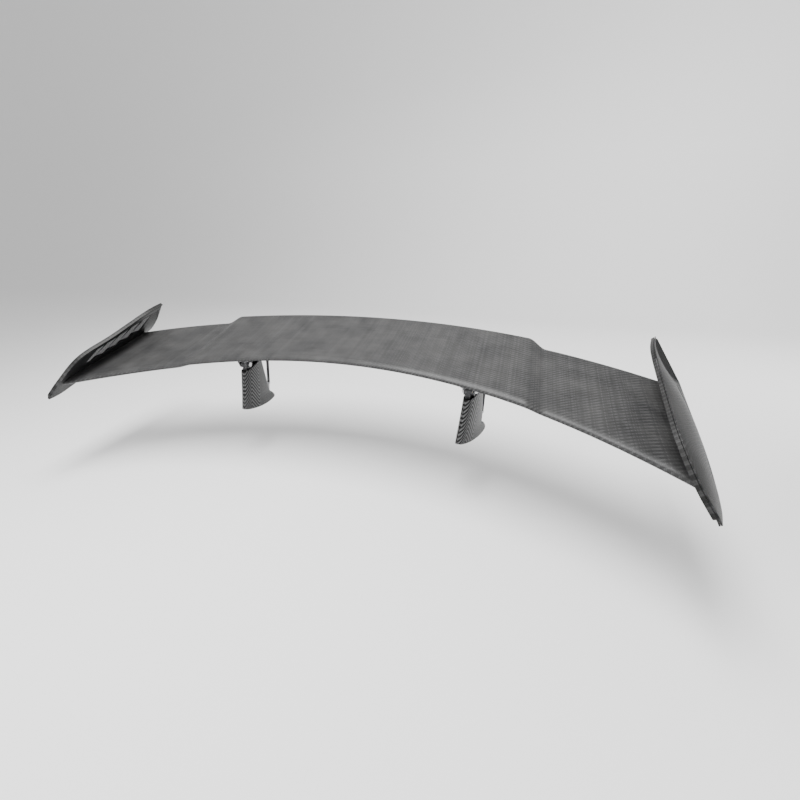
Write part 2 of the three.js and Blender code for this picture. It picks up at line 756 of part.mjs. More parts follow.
function footPin() {
  const half = forkHalf + forkThickness + 0.6;
  return barX(eyePinRadius, ramX - half, ramX + half, ...ramFoot, 20);
}

// Rams
const ramAngle = Math.atan2(ramTop[0] - ramFoot[0], ramTop[1] - ramFoot[1]);
const ramLength = Math.hypot(ramTop[0] - ramFoot[0], ramTop[1] - ramFoot[1]);

// A turned piece on the ram's line, its profile given as [radius, distance from the foot pin].
function ramTurned(profile) {
  const lathe = new THREE.LatheGeometry(profile.map(([r, s]) => new THREE.Vector2(r, s)), 20);
  return lathe.rotateX(Math.PI / 2 - ramAngle).translate(ramX, ramFoot[0], ramFoot[1]);
}

function ramRod() {
  const rod = ramTurned([[0, 4], [rodRadius, 4], [rodRadius, rodEnd], [0, rodEnd]]);
  const eye = barX(eyePinRadius + footEyeWall, ramX - eyeWidth / 2, ramX + eyeWidth / 2, ...ramFoot, 24);
  const bore = barX(eyePinRadius + runningGap, ramX - 20, ramX + 20, ...ramFoot, 20);
  return cut(join(rod, eye), bore);
}

function ramCylinder() {
  const bore = rodRadius + clearance;
  const end = ramLength - linkLugRadius - cylinderGap;
  const body = ramTurned([
    [bore, cylinderStart], [cylinderRadius, cylinderStart], [cylinderRadius, end],
    [0, end + 3], [0, end - 5], [bore, end - 7], [bore, cylinderStart],
  ]);
  const holeRadius = eyePinRadius + openPivotGap;
  const eye = barX(holeRadius + topEyeWall, ramX - eyeWidth / 2, ramX + eyeWidth / 2, ...ramTop, 24);
  const hole = barX(holeRadius, ramX - 20, ramX + 20, ...ramTop, 20);
  return cut(join(body, eye), hole);
}

function ramGland() {
  const from = cylinderStart - clearance - glandLength;
  const inner = rodRadius + clearance;
  return ramTurned([
    [inner, from], [cylinderRadius, from], [cylinderRadius + 0.8, from + 1.5],
    [cylinderRadius + 0.8, cylinderStart - clearance], [inner, cylinderStart - clearance], [inner, from],
  ]);
}

// Assembly
addNode("blade_upper_skin", skin(1), carbon);
addNode("blade_lower_skin", skin(-1), darkCarbon);
addNode("front_spar", spar(sparFront), darkCarbon);
addNode("rear_spar", spar(sparRear), darkCarbon);
addPair("end_rib", endRib, darkCarbon);
addPair("endplate_inner", innerPanel, carbon);
addPair("endplate_outer", outerPanel, carbon);
for (let i = 0; i < louvreCount; i++) addPair(`louvre_${i + 1}`, () => louvre(i), darkCarbon);
addPair("clevis", clevis, alloy);
addPair("ram_bracket", linkBracket, alloy);
addPair("pivot_pin", pivotPin, steel);
addPair("pivot_nut", pivotNut, steel);
addPair("pivot_bush", bush, bronze);
addPair("strut_fairing", fairing, carbon);
addPair("strut_post", post, darkAlloy);
addPair("foot_gasket", gasket, rubber);
addPair("foot_insert_front", () => footInsert(0), steel);
addPair("foot_insert_rear", () => footInsert(1), steel);
addPair("ram_rod", ramRod, steel);
addPair("ram_gland", ramGland, alloy);
addPair("ram_cylinder", ramCylinder, darkAlloy);
addPair("ram_foot_pin", footPin, steel);
addPair("ram_top_pin", () => eyePin(ramTop, linkOuter), steel);

export default wing;
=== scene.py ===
import math

import bmesh
import bpy
import numpy as np
from mathutils import Matrix, Vector


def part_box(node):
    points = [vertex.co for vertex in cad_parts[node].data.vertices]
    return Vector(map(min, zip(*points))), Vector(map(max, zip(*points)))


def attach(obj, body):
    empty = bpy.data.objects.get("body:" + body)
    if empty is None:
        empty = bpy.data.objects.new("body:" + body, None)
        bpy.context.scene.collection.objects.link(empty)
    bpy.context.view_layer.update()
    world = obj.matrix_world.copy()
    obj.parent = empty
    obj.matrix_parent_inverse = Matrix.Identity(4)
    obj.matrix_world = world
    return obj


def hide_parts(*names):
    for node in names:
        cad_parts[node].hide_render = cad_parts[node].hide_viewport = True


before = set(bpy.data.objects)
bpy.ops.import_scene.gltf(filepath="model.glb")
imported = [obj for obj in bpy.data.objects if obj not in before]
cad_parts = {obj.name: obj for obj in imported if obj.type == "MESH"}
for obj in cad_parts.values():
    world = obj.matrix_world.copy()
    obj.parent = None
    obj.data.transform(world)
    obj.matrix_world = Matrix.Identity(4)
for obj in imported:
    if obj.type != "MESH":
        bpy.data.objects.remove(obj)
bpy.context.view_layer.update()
print("frame loaded", len(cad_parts), "nodes")

# camera and room
cameraView = {"place": (0.4743, -0.9749, 0.5601), "yaw": 18.0, "pitch": -24.51, "lens": 16.0}
room = {
    "floorHeight": -0.15, "front": -6.0, "back": 2.6, "side": 5.0, "sweepRadius": 1.5, "wallHeight": 6.0,
    "tone": 0.92, "skyTone": 0.9, "skyStrength": 0.78,
}
lamps = [
    {"name": "overhead", "place": (-0.15, -0.2, 2.3), "aim": (0.0, -0.2, 0.1),
     "size": (1.8, 1.0), "power": 105},
    {"name": "frontFill", "place": (-0.9, -1.9, 0.9), "aim": (0, 0, 0.2),
     "size": (1.6, 0.8), "power": 22},
    {"name": "sideFill", "place": (1.5, -1.0, 0.5), "aim": (-0.8, -0.1, 0.25),
     "size": (0.8, 0.8), "power": 6},
    {"name": "wallWash", "place": (2.4, 0.4, 1.8), "aim": (1.8, 4.0, 1.4),
     "size": (1.2, 1.2), "power": 95},
]


def collect(thing):
    bpy.context.scene.collection.objects.link(thing)
    return thing


def placeCamera():
    data = bpy.data.cameras.new("shotCamera")
    data.lens = cameraView["lens"]
    data.sensor_width = 36
    data.clip_start = 0.01
    camera = collect(bpy.data.objects.new("shotCamera", data))
    camera.location = cameraView["place"]
    camera.rotation_euler = (math.radians(90 + cameraView["pitch"]), 0, math.radians(cameraView["yaw"]))
    bpy.context.scene.camera = camera


def placeLamps():
    for lamp in lamps:
        data = bpy.data.lights.new(lamp["name"], "AREA")
        data.shape = "RECTANGLE"
        data.size, data.size_y = lamp["size"]
        data.energy = lamp["power"]
        thing = collect(bpy.data.objects.new(lamp["name"], data))
        thing.location = lamp["place"]
        sight = Vector(lamp["aim"]) - Vector(lamp["place"])
        thing.rotation_euler = sight.to_track_quat("-Z", "Y").to_euler()
    world = bpy.data.worlds.new("room")
    bpy.context.scene.world = world
    world.use_nodes = True
    sky = world.node_tree.nodes["Background"]
    sky.inputs["Color"].default_value = (*[room["skyTone"]] * 3, 1)
    sky.inputs["Strength"].default_value = room["skyStrength"]


# node helpers
# a socket that can be added, multiplied and so on, each step being one Math node
class Wire:
    def __init__(self, tree, socket):
        self.tree, self.socket = tree, socket

    def step(self, operation, *others):
        node = self.tree.nodes.new("ShaderNodeMath")
        node.operation = operation
        for place, value in zip(node.inputs, (self, *others)):
            feed(self.tree, place, value)
        return Wire(self.tree, node.outputs[0])

    def __add__(self, other):
        return self.step("ADD", other)

    def __sub__(self, other):
        return self.step("SUBTRACT", other)

    def __mul__(self, other):
        return self.step("MULTIPLY", other)

    def __truediv__(self, other):
        return self.step("DIVIDE", other)

    def __pow__(self, other):
        return self.step("POWER", other)

    def clamped(self):
        wire = self + 0.0
        wire.socket.node.use_clamp = True
        return wire


def feed(tree, place, value):
    if isinstance(value, Wire):
        tree.links.new(value.socket, place)
    elif isinstance(value, bpy.types.NodeSocket):
        tree.links.new(value, place)
    else:
        place.default_value = value


def addNode(tree, kind, settings=None, **inputs):
    node = tree.nodes.new(kind)
    for name, value in (settings or {}).items():
        setattr(node, name, value)
    for name, value in inputs.items():
        feed(tree, node.inputs[name.replace("_", " ")], value)
    return node


def combined(tree, x, y, z):
    node = tree.nodes.new("ShaderNodeCombineXYZ")
    for place, value in zip(node.inputs, (x, y, z)):
        feed(tree, place, value)
    return node.outputs[0]


def parted(tree, vector):
    node = tree.nodes.new("ShaderNodeSeparateXYZ")
    tree.links.new(vector, node.inputs[0])
    return [Wire(tree, socket) for socket in node.outputs]


def newGroup(name, kind, inputs, outputs):
    tree = bpy.data.node_groups.new(name, kind)
    for label, socketType, value in inputs:
        socket = tree.interface.new_socket(label, in_out="INPUT", socket_type=socketType)
        if value is not None:
            socket.default_value = value
    for label, socketType in outputs:
        tree.interface.new_socket(label, in_out="OUTPUT", socket_type=socketType)
    return tree, tree.nodes.new("NodeGroupInput"), tree.nodes.new("NodeGroupOutput")


floatSocket, vectorSocket, colourSocket = "NodeSocketFloat", "NodeSocketVector", "NodeSocketColor"
weldDistance = 0.00001


def newGeometryTree(name, sizes, counts):
    tree, given, result = newGroup(name, "GeometryNodeTree", [
        ("Geometry", "NodeSocketGeometry", None),
        *[(label, floatSocket, value) for label, value in sizes.items()],
        *[(label, "NodeSocketInt", value) for label, value in counts.items()],
        ("Finish", "NodeSocketMaterial", None),
    ], [("Geometry", "NodeSocketGeometry")])
    return tree, given, result, {label: Wire(tree, given.outputs[label]) for label in (*sizes, *counts)}


def endTree(tree, given, result, geometry):
    solid = addNode(tree, "GeometryNodeRealizeInstances", Geometry=geometry)
    dressed = addNode(tree, "GeometryNodeSetMaterial", Geometry=solid.outputs[0],
                      Material=given.outputs["Finish"])
    feed(tree, result.inputs["Geometry"], dressed.outputs[0])
    return tree


# surface effects, each one group
def buildWeave():
    tree, given, result = newGroup("twillWeave", "ShaderNodeTree", [
        ("Vector", vectorSocket, None), ("Tow Width", floatSocket, 0.0025), ("Warp Tone", floatSocket, 0.09),
        ("Weft Tone", floatSocket, 0.05), ("Depth", floatSocket, 0.5), ("Unevenness", floatSocket, 0.15),
    ], [("Colour", colourSocket), ("Height", floatSocket), ("Tow Mask", floatSocket)])
    x, y, _ = parted(tree, given.outputs["Vector"])
    tow = Wire(tree, given.outputs["Tow Width"])
    depth = Wire(tree, given.outputs["Depth"])
    uneven = Wire(tree, given.outputs["Unevenness"])
    drift = addNode(tree, "ShaderNodeTexNoise", Vector=given.outputs["Vector"], Scale=9.0, Detail=2.0)
    driftX, driftY, _ = parted(tree, drift.outputs["Color"])
    across = x / tow + (driftX - 0.5) * 1.6
    along = y / tow + (driftY - 0.5) * 1.6
    column, row = across.step("FLOOR"), along.step("FLOOR")
    turn = (column - row).step("FLOORED_MODULO", 4.0)
    warpOver = turn.step("LESS_THAN", 1.5)

    # how far a tow has risen over the two that it crosses
    def risen(run):
        return (run.step("FLOORED_MODULO", 4.0) * (math.pi / 2)).step("SINE").step("MAXIMUM", 0.0)
    warpRun, weftRun = risen(along - column + 1.0), risen(across - row - 2.0)
    warpRound = (across - column) * 2.0 - 1.0
    weftRound = (along - row) * 2.0 - 1.0
    warpHeight = (warpRound * warpRound * -1.0 + 1.0) * (warpRun * 0.6 + 0.4)
    weftHeight = (weftRound * weftRound * -1.0 + 1.0) * (weftRun * 0.6 + 0.4)
    height = weftHeight + warpOver * (warpHeight - weftHeight)
    warpSeed = addNode(tree, "ShaderNodeTexWhiteNoise", {"noise_dimensions": "1D"}, W=column)
    weftSeed = addNode(tree, "ShaderNodeTexWhiteNoise", {"noise_dimensions": "1D"}, W=row + 71.0)
    warpLuck = Wire(tree, warpSeed.outputs["Value"])
    weftLuck = Wire(tree, weftSeed.outputs["Value"])
    luck = weftLuck + warpOver * (warpLuck - weftLuck)
    # painted sheen: warp and weft tows take different tones, standing in for the light that tows catch
    # according to their direction
    warpSheenTone, weftSheenTone = Wire(tree, given.outputs["Warp Tone"]), Wire(tree, given.outputs["Weft Tone"])
    tone = weftSheenTone + warpOver * (warpSheenTone - weftSheenTone)
    cloud = addNode(tree, "ShaderNodeTexNoise", Vector=given.outputs["Vector"], Scale=26.0, Detail=3.0)
    cloudy = Wire(tree, cloud.outputs["Fac"])
    tone = tone * ((luck - 0.5) * uneven + 1.0) * ((cloudy - 0.5) * uneven * 1.5 + 1.0)
    # painted shade: the tone is darkened where the tow height is low, at each tow's edges and where it dives
    # under its neighbours
    tone = tone * (depth * (height - 1.0) + 1.0)
    feed(tree, result.inputs["Colour"], combined(tree, tone, tone, tone * 1.015))
    feed(tree, result.inputs["Height"], height)
    feed(tree, result.inputs["Tow Mask"], warpOver)
    return tree


def buildDust():
    tree, given, result = newGroup("settledDust", "ShaderNodeTree", [
        ("Vector", vectorSocket, None), ("Amount", floatSocket, 0.2), ("Scale", floatSocket, 30.0),
    ], [("Mask", floatSocket), ("Fine", floatSocket)])
    facing = tree.nodes.new("ShaderNodeNewGeometry")
    _, _, up = parted(tree, facing.outputs["Normal"])
    broad = addNode(tree, "ShaderNodeTexNoise", Vector=given.outputs["Vector"],
                    Scale=given.outputs["Scale"], Detail=6.0)
    fine = addNode(tree, "ShaderNodeTexNoise", Vector=given.outputs["Vector"], Scale=900.0, Detail=2.0)
    patch = (Wire(tree, broad.outputs["Fac"]) * 2.4 - 0.75).clamped()
    lying = (up * 0.7 + 0.35).clamped()
    grain = Wire(tree, fine.outputs["Fac"])
    amount = Wire(tree, given.outputs["Amount"])
    feed(tree, result.inputs["Mask"], patch * lying * (grain * 0.8 + 0.5) * amount)
    feed(tree, result.inputs["Fine"], grain)
    return tree


def buildGrain():
    tree, given, result = newGroup("machinedGrain", "ShaderNodeTree", [
        ("Vector", vectorSocket, None), ("Stretch", vectorSocket, (1.0, 1.0, 1.0)),
        ("Scale", floatSocket, 400.0),
    ], [("Streaks", floatSocket), ("Blotches", floatSocket)])
    scaled = addNode(tree, "ShaderNodeVectorMath", {"operation": "MULTIPLY"})
    feed(tree, scaled.inputs[0], given.outputs["Vector"])
    feed(tree, scaled.inputs[1], given.outputs["Stretch"])
    streaks = addNode(tree, "ShaderNodeTexNoise", Vector=scaled.outputs[0],
                      Scale=given.outputs["Scale"], Detail=4.0)
    blotches = addNode(tree, "ShaderNodeTexNoise", Vector=given.outputs["Vector"], Scale=55.0, Detail=4.0)
    feed(tree, result.inputs["Streaks"], streaks.outputs["Fac"])
    feed(tree, result.inputs["Blotches"], blotches.outputs["Fac"])
    return tree


def buildEdgeWear():
    tree, given, result = newGroup("edgeWear", "ShaderNodeTree", [
        ("Vector", vectorSocket, None), ("Reach", floatSocket, 0.0012), ("Amount", floatSocket, 1.0),
    ], [("Mask", floatSocket)])
    rounded = addNode(tree, "ShaderNodeBevel", {"samples": 4}, Radius=given.outputs["Reach"])
    facing = tree.nodes.new("ShaderNodeNewGeometry")
    dot = addNode(tree, "ShaderNodeVectorMath", {"operation": "DOT_PRODUCT"})
    feed(tree, dot.inputs[0], rounded.outputs["Normal"])
    feed(tree, dot.inputs[1], facing.outputs["Normal"])
    broken = addNode(tree, "ShaderNodeTexNoise", Vector=given.outputs["Vector"], Scale=260.0, Detail=3.0)
    edge = (Wire(tree, dot.outputs["Value"]) * -7.0 + 6.9).clamped()
    chipped = (Wire(tree, broken.outputs["Fac"]) * 2.2 - 0.5).clamped()
    feed(tree, result.inputs["Mask"], edge * chipped * Wire(tree, given.outputs["Amount"]))
    return tree


effects = {"weave": buildWeave(), "dust": buildDust(), "grain": buildGrain(), "wear": buildEdgeWear()}


def place(tree, effect, **inputs):
    return addNode(tree, "ShaderNodeGroup", {"node_tree": effects[effect]}, **inputs)


def mixed(tree, amount, first, second):
    node = tree.nodes.new("ShaderNodeMix")
    node.data_type = "RGBA"
    feed(tree, node.inputs[0], amount)
    feed(tree, node.inputs[6], first)
    feed(tree, node.inputs[7], second)
    return node.outputs[2]


def startMaterial(name):
    material = bpy.data.materials.new(name)
    material.use_nodes = True
    tree = material.node_tree
    return material, tree, tree.nodes["Principled BSDF"]


# materials
# the warp and weft tones differ as painted sheen between the two tow directions, and each finish also darkens
# the dips between tows as painted shade
carbonFinishes = {
    "bladeCarbon": {"tow": 0.0025, "warp": 0.05, "weft": 0.026, "depth": 0.4, "uneven": 0.6, "rough": 0.42,
                    "coat": 0.1, "coatRough": 0.22, "specular": 0.22, "bump": 0.35, "dust": 0.06},
    "plateCarbon": {"tow": 0.0025, "warp": 0.03, "weft": 0.009, "depth": 0.5, "uneven": 0.4, "rough": 0.42,
                    "coat": 0.05, "coatRough": 0.2, "specular": 0.2, "bump": 0.4, "dust": 0.05},
    # painted light: the vane cloth is given tones several times lighter than the plate cloth, standing in for
    # the light that falls on the vanes
    "vaneCarbonPaintedLight": {"tow": 0.0022, "warp": 0.3, "weft": 0.2, "depth": 0.4, "uneven": 0.2, "rough": 0.42,
                   "coat": 0.2, "coatRough": 0.25, "specular": 0.4, "bump": 0.3, "dust": 0.05},
    "strutCarbon": {"tow": 0.003, "warp": 0.13, "weft": 0.004, "depth": 0.6, "uneven": 0.25, "rough": 0.36,
                    "coat": 0.03, "coatRough": 0.12, "specular": 0.08, "bump": 0.5, "dust": 0.03},
}


def carbonMaterial(name, onSurface=True):
    look = carbonFinishes[name]
    material, tree, shader = startMaterial(name if onSurface else name + "Inside")
    if onSurface:
        cloth = addNode(tree, "ShaderNodeUVMap", {"uv_map": "clothMap"}).outputs["UV"]
    else:
        cloth = tree.nodes.new("ShaderNodeTexCoord").outputs["Object"]
    spot = tree.nodes.new("ShaderNodeTexCoord").outputs["Object"]
    weave = place(tree, "weave", Vector=cloth, Tow_Width=look["tow"], Warp_Tone=look["warp"],
                  Weft_Tone=look["weft"], Depth=look["depth"], Unevenness=look["uneven"])
    dust = place(tree, "dust", Vector=spot, Amount=look["dust"], Scale=14.0)
    feed(tree, shader.inputs["Base Color"],
         mixed(tree, dust.outputs["Mask"], weave.outputs["Colour"], (0.4, 0.39, 0.37, 1)))
    height = Wire(tree, weave.outputs["Height"])
    rough = (height * -0.12 + look["rough"] + 0.06) + Wire(tree, dust.outputs["Mask"]) * 0.5
    feed(tree, shader.inputs["Roughness"], rough + Wire(tree, weave.outputs["Tow Mask"]) * 0.06)
    bump = addNode(tree, "ShaderNodeBump", Strength=look["bump"], Distance=0.0002, Height=height)
    feed(tree, shader.inputs["Normal"], bump.outputs["Normal"])
    shader.inputs["Coat Weight"].default_value = look["coat"]
    shader.inputs["Coat Roughness"].default_value = look["coatRough"]
    shader.inputs["Specular IOR Level"].default_value = look["specular"]
    return material


metalFinishes = {
    "turnedSteel": {"colour": (0.56, 0.56, 0.57, 1), "dark": (0.3, 0.3, 0.3, 1), "rough": 0.28, "metal": 1.0,
                    "stretch": (60.0, 1.0, 1.0), "scale": 40.0, "bump": 0.15, "wear": 0.5},
    "milledAlloy": {"colour": (0.62, 0.63, 0.64, 1), "dark": (0.36, 0.36, 0.37, 1), "rough": 0.36,
                    "metal": 1.0, "stretch": (1.0, 14.0, 1.0), "scale": 90.0, "bump": 0.2, "wear": 0.7},
    "anodisedAlloy": {"colour": (0.045, 0.045, 0.048, 1), "dark": (0.025, 0.025, 0.027, 1), "rough": 0.4,
                      "metal": 0.85, "stretch": (1.0, 1.0, 9.0), "scale": 120.0, "bump": 0.15, "wear": 1.0},
    "bearingBronze": {"colour": (0.5, 0.4, 0.24, 1), "dark": (0.26, 0.2, 0.12, 1), "rough": 0.34,
                      "metal": 1.0, "stretch": (30.0, 1.0, 1.0), "scale": 60.0, "bump": 0.15, "wear": 0.4},
}


def metalMaterial(name):
    look = metalFinishes[name]
    material, tree, shader = startMaterial(name)
    spot = tree.nodes.new("ShaderNodeTexCoord").outputs["Object"]
    grain = place(tree, "grain", Vector=spot, Stretch=look["stretch"], Scale=look["scale"])
    wear = place(tree, "wear", Vector=spot, Reach=0.0009, Amount=look["wear"])
    dust = place(tree, "dust", Vector=spot, Amount=0.15, Scale=40.0)
    blotches = Wire(tree, grain.outputs["Blotches"])
    colour = mixed(tree, (blotches * 1.6 - 0.4).clamped(), look["colour"], look["dark"])
    colour = mixed(tree, wear.outputs["Mask"], colour, (0.7, 0.7, 0.7, 1))
    feed(tree, shader.inputs["Base Color"], mixed(tree, dust.outputs["Mask"], colour, (0.25, 0.24, 0.23, 1)))
    shader.inputs["Metallic"].default_value = look["metal"]
    streaks = Wire(tree, grain.outputs["Streaks"])
    feed(tree, shader.inputs["Roughness"],
         streaks * 0.18 + (look["rough"] - 0.09) + Wire(tree, dust.outputs["Mask"]) * 0.6)
    bump = addNode(tree, "ShaderNodeBump", Strength=look["bump"], Distance=0.0002, Height=streaks)
    feed(tree, shader.inputs["Normal"], bump.outputs["Normal"])
    return material


rubberLook = {"colour": (0.018, 0.018, 0.019, 1), "pale": (0.05, 0.05, 0.052, 1), "rough": 0.78}


def rubberMaterial():
    material, tree, shader = startMaterial("sealRubber")
    spot = tree.nodes.new("ShaderNodeTexCoord").outputs["Object"]
    grain = place(tree, "grain", Vector=spot, Stretch=(1.0, 1.0, 1.0), Scale=700.0)
    dust = place(tree, "dust", Vector=spot, Amount=0.35, Scale=60.0)
    blotches = Wire(tree, grain.outputs["Blotches"])
    colour = mixed(tree, blotches, rubberLook["colour"], rubberLook["pale"])
    feed(tree, shader.inputs["Base Color"], mixed(tree, dust.outputs["Mask"], colour, (0.2, 0.19, 0.18, 1)))
    feed(tree, shader.inputs["Roughness"], blotches * 0.2 + (rubberLook["rough"] - 0.1))
    bump = addNode(tree, "ShaderNodeBump", Strength=0.3, Distance=0.0003, Height=grain.outputs["Streaks"])
    feed(tree, shader.inputs["Normal"], bump.outputs["Normal"])
    return material


def floorMaterial():
    material, tree, shader = startMaterial("paleFloor")
    tone = room["tone"]
    shader.inputs["Base Color"].default_value = (tone, tone, tone, 1)
    shader.inputs["Roughness"].default_value = 0.85
    shader.inputs["Specular IOR Level"].default_value = 0.1
    return material


materials = {name: carbonMaterial(name) for name in carbonFinishes}
materials.update({name: metalMaterial(name) for name in metalFinishes})
# the inside parts reuse the vane tones, painted light included
materials["insideCarbon"] = carbonMaterial("vaneCarbonPaintedLight", onSurface=False)
materials["sealRubber"] = rubberMaterial()
materials["paleFloor"] = floorMaterial()
print("materials made", len(materials))


# mesh helpers
def addPiece(name, mesh, material, body, *nodes):
    piece = collect(bpy.data.objects.new(name, mesh))
    mesh.materials.clear()
    mesh.materials.append(materials[material])
    if nodes:
        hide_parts(*nodes)
    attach(piece, body)
    "carbon_weave" if "Carbon" in material else "steel"
    return piece


# shades smooth, with a crease wherever two faces meet more sharply than the angle
def shadeMesh(mesh, angle=32.0):
    work = bmesh.new()
    work.from_mesh(mesh)
    for face in work.faces:
        face.smooth = True
    for edge in work.edges:
        edge.smooth = len(edge.link_faces) == 2 and edge.calc_face_angle(0) < math.radians(angle)
    work.to_mesh(mesh)
    work.free()
    return mesh


def faceOutward(mesh, closeRims=False):
    work = bmesh.new()
    work.from_mesh(mesh)
    if closeRims:
        rims = [edge for edge in work.edges if len(edge.link_faces) == 1]
        bmesh.ops.holes_fill(work, edges=rims, sides=0)
    bmesh.ops.recalc_face_normals(work, faces=work.faces)
    work.to_mesh(mesh)
    work.free()


def mirrorMesh(mesh, name):
    twin = mesh.copy()
    twin.name = name
    twin.transform(Matrix.Scale(-1, 4, (1, 0, 0)))
    twin.flip_normals()
    return twin


# a closed mesh from points and faces, faces outward, with the cloth's own coordinates in metres
def meshFrom(name, points, faces, clothUv, angle=32.0):
    mesh = bpy.data.meshes.new(name)
    mesh.from_pydata([tuple(p) for p in points], [], faces)
    layer = mesh.uv_layers.new(name="clothMap")
    for loop in mesh.loops:
        layer.data[loop.index].uv = clothUv[loop.vertex_index]
    faceOutward(mesh)
    return shadeMesh(mesh, angle)


# a wall over a grid: both faces and the rims, with the cells that keep() refuses left open
def wallMesh(name, us, vs, pointAt, keep, uvAt):
    points, cloth, faces = [], [], []
    for u in us:
        for v in vs:
            for side in (0, 1):
                points.append(pointAt(u, v, side))
                cloth.append(uvAt(u, v))
    at = lambda i, j, side: (i * len(vs) + j) * 2 + side
    kept = [[keep((us[i] + us[i + 1]) / 2, (vs[j] + vs[j + 1]) / 2) for j in range(len(vs) - 1)]
            for i in range(len(us) - 1)]
    isOpen = lambda i, j: not (0 <= i < len(us) - 1 and 0 <= j < len(vs) - 1 and kept[i][j])
    for i in range(len(us) - 1):
        for j in range(len(vs) - 1):
            if isOpen(i, j):
                continue
            corners = [(i, j), (i + 1, j), (i + 1, j + 1), (i, j + 1)]
            faces.append([at(a, b, 1) for a, b in corners])
            faces.append([at(a, b, 0) for a, b in reversed(corners)])
            neighbours = [(i, j - 1), (i + 1, j), (i, j + 1), (i - 1, j)]
            for (a, b), (c, d), beyond in zip(corners, corners[1:] + corners[:1], neighbours):
                if isOpen(*beyond):
                    faces.append([at(a, b, 0), at(c, d, 0), at(c, d, 1), at(a, b, 1)])
    return meshFrom(name, points, faces, cloth)


def boxMesh(low, high):
    mesh = bpy.data.meshes.new("cutter")
    points = [tuple((high if bit >> k & 1 else low)[k] / 1000 for k in range(3)) for bit in range(8)]
    faces = [(0, 2, 3, 1), (4, 5, 7, 6), (0, 1, 5, 4), (2, 6, 7, 3), (0, 4, 6, 2), (1, 3, 7, 5)]
    mesh.from_pydata(points, [], faces)
    return mesh


def cutMesh(mesh, cutter):
    holder, tool = (collect(bpy.data.objects.new(m.name, m)) for m in (mesh, cutter))
    boolean = holder.modifiers.new("cut", "BOOLEAN")
    boolean.operation, boolean.solver, boolean.object = "DIFFERENCE", "EXACT", tool
    result = bpy.data.meshes.new_from_object(holder.evaluated_get(bpy.context.evaluated_depsgraph_get()))
    bpy.data.objects.remove(holder)
    bpy.data.objects.remove(tool)
    return result


def roundEdges(piece, width):
    bevel = piece.modifiers.new("edge", "BEVEL")
    bevel.width = width
    bevel.segments = 2
    bevel.limit_method = "ANGLE"
    bevel.angle_limit = math.radians(40.0)


# runs a geometry tree on a carrier and returns its result as a plain mesh
def evaluateTree(tree, values, carrier=None):
    holder = collect(bpy.data.objects.new("treeHolder", carrier or bpy.data.meshes.new("emptyCarrier")))
    modifier = holder.modifiers.new("tree", "NODES")
    modifier.node_group = tree
    for item in tree.interface.items_tree:
        if item.item_type == "SOCKET" and item.in_out == "INPUT" and item.name in values:
            modifier[item.identifier] = values[item.name]
    shown = holder.evaluated_get(bpy.context.evaluated_depsgraph_get())
    mesh = bpy.data.meshes.new_from_object(shown)
    bpy.data.objects.remove(holder)
    return mesh


# blade
# the six Tip and Tip Lean figures come from a fit, by a separate calculation, of where the blade meets
# the end plate, to within half a millimetre; Tip Chord is the chord taken there
bladeSizes = {
    "Span Scale": 0.85, "Shoulder": 0.544, "Shoulder Width": 0.051,
    "Front Y": -0.046, "Front Z": 0.210, "Front Bow": 0.216, "Front Bow 4": 0.088, "Front Arch": 0.072,
    "Front Arch 4": -0.017, "Front Step Y": 0.009, "Front Step Z": -0.007,
    "Rear Y": 0.241, "Rear Z": 0.294, "Rear Bow": 0.281, "Rear Bow 4": -0.028, "Rear Arch": 0.015,
    "Rear Arch 4": 0.022, "Rear Step Y": -0.005, "Rear Step Z": -0.022,
    "Thickness": 0.066, "Sag": 0.022, "Nose": 0.09, "Tail": 0.0034,
    "Tip": 0.83397, "Tip 1": 0.05144, "Tip 2": -0.02904, "Tip 3": -0.00564,
    "Tip Lean": -0.754, "Tip Lean 1": -0.561, "Tip Chord": 0.31,
}
bladeCells = {"Span Points": 361, "Loop Points": 99}


